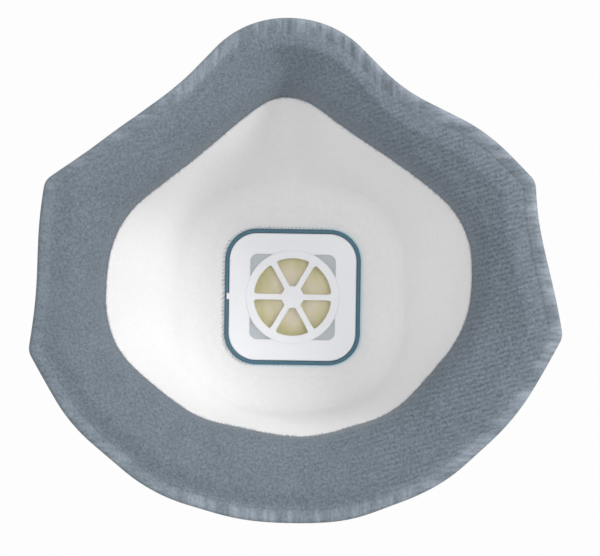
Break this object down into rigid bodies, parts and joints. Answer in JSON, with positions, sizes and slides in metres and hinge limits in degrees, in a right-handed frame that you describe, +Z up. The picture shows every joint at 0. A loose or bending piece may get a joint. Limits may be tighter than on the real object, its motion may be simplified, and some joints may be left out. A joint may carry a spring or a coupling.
{
  "type": "disposable dust mask",
  "caption": "Moulded cup dust mask with a soft fabric face seal, nose clip, square exhalation valve with a rubber diaphragm, and two elastic headbands.",
  "frame": {"origin": "centre of the face seal's rim, level with its nose and chin points", "axes": "+Z up towards the nose, +Y towards the wearer's face, -Y out through the valve, +X across the mask"},
  "size_m": [0.1448, 0.0703, 0.1384],
  "materials": {
    "shell_white": "matte nonwoven",
    "filter_white": "matte nonwoven",
    "prefilter_white": "matte nonwoven",
    "cover_white": "matte nonwoven",
    "weld_grey": "crimped",
    "foam_grey": "open-cell foam",
    "seal_grey": "brushed knit",
    "clip_metal": "brushed",
    "seat_white": "satin",
    "frame_teal": "satin",
    "rubber_beige": "smooth",
    "cap_teal": "satin",
    "band_grey": "flat elastic"
  },
  "bodies": {
    "mask": {"inner_shell": "shell_white", "filter_media": "filter_white", "prefilter": "prefilter_white", "outer_cover": "cover_white", "rim_weld": "weld_grey", "seal_foam": "foam_grey", "seal_fabric": "seal_grey", "nose_clip": "clip_metal", "valve_seat": "seat_white", "valve_body": "frame_teal", "valve_cover": "cap_teal", "upper_band_end_left": "band_grey", "upper_band_end_right": "band_grey", "lower_band_end_left": "band_grey", "lower_band_end_right": "band_grey"},
    "diaphragm": {"diaphragm": "rubber_beige"},
    "upper_headband": {"upper_headband": "band_grey"},
    "lower_headband": {"lower_headband": "band_grey"}
  },
  "joints": [
    {"name": "diaphragm_lift", "type": "slide", "parent": "mask", "child": "diaphragm", "axis": [0, -1, 0], "range_m": [0, 0.0018], "stiffness_N_per_m": 12},
    {"name": "upper_headband_swing", "type": "hinge", "parent": "mask", "child": "upper_headband", "pos_m": [0, 0.00561, 0.02345], "axis": [-1, 0, 0], "range_deg": [0, 150]},
    {"name": "lower_headband_swing", "type": "hinge", "parent": "mask", "child": "lower_headband", "pos_m": [0, 0.00561, -0.02401], "axis": [1, 0, 0], "range_deg": [0, 165]}
  ]
}
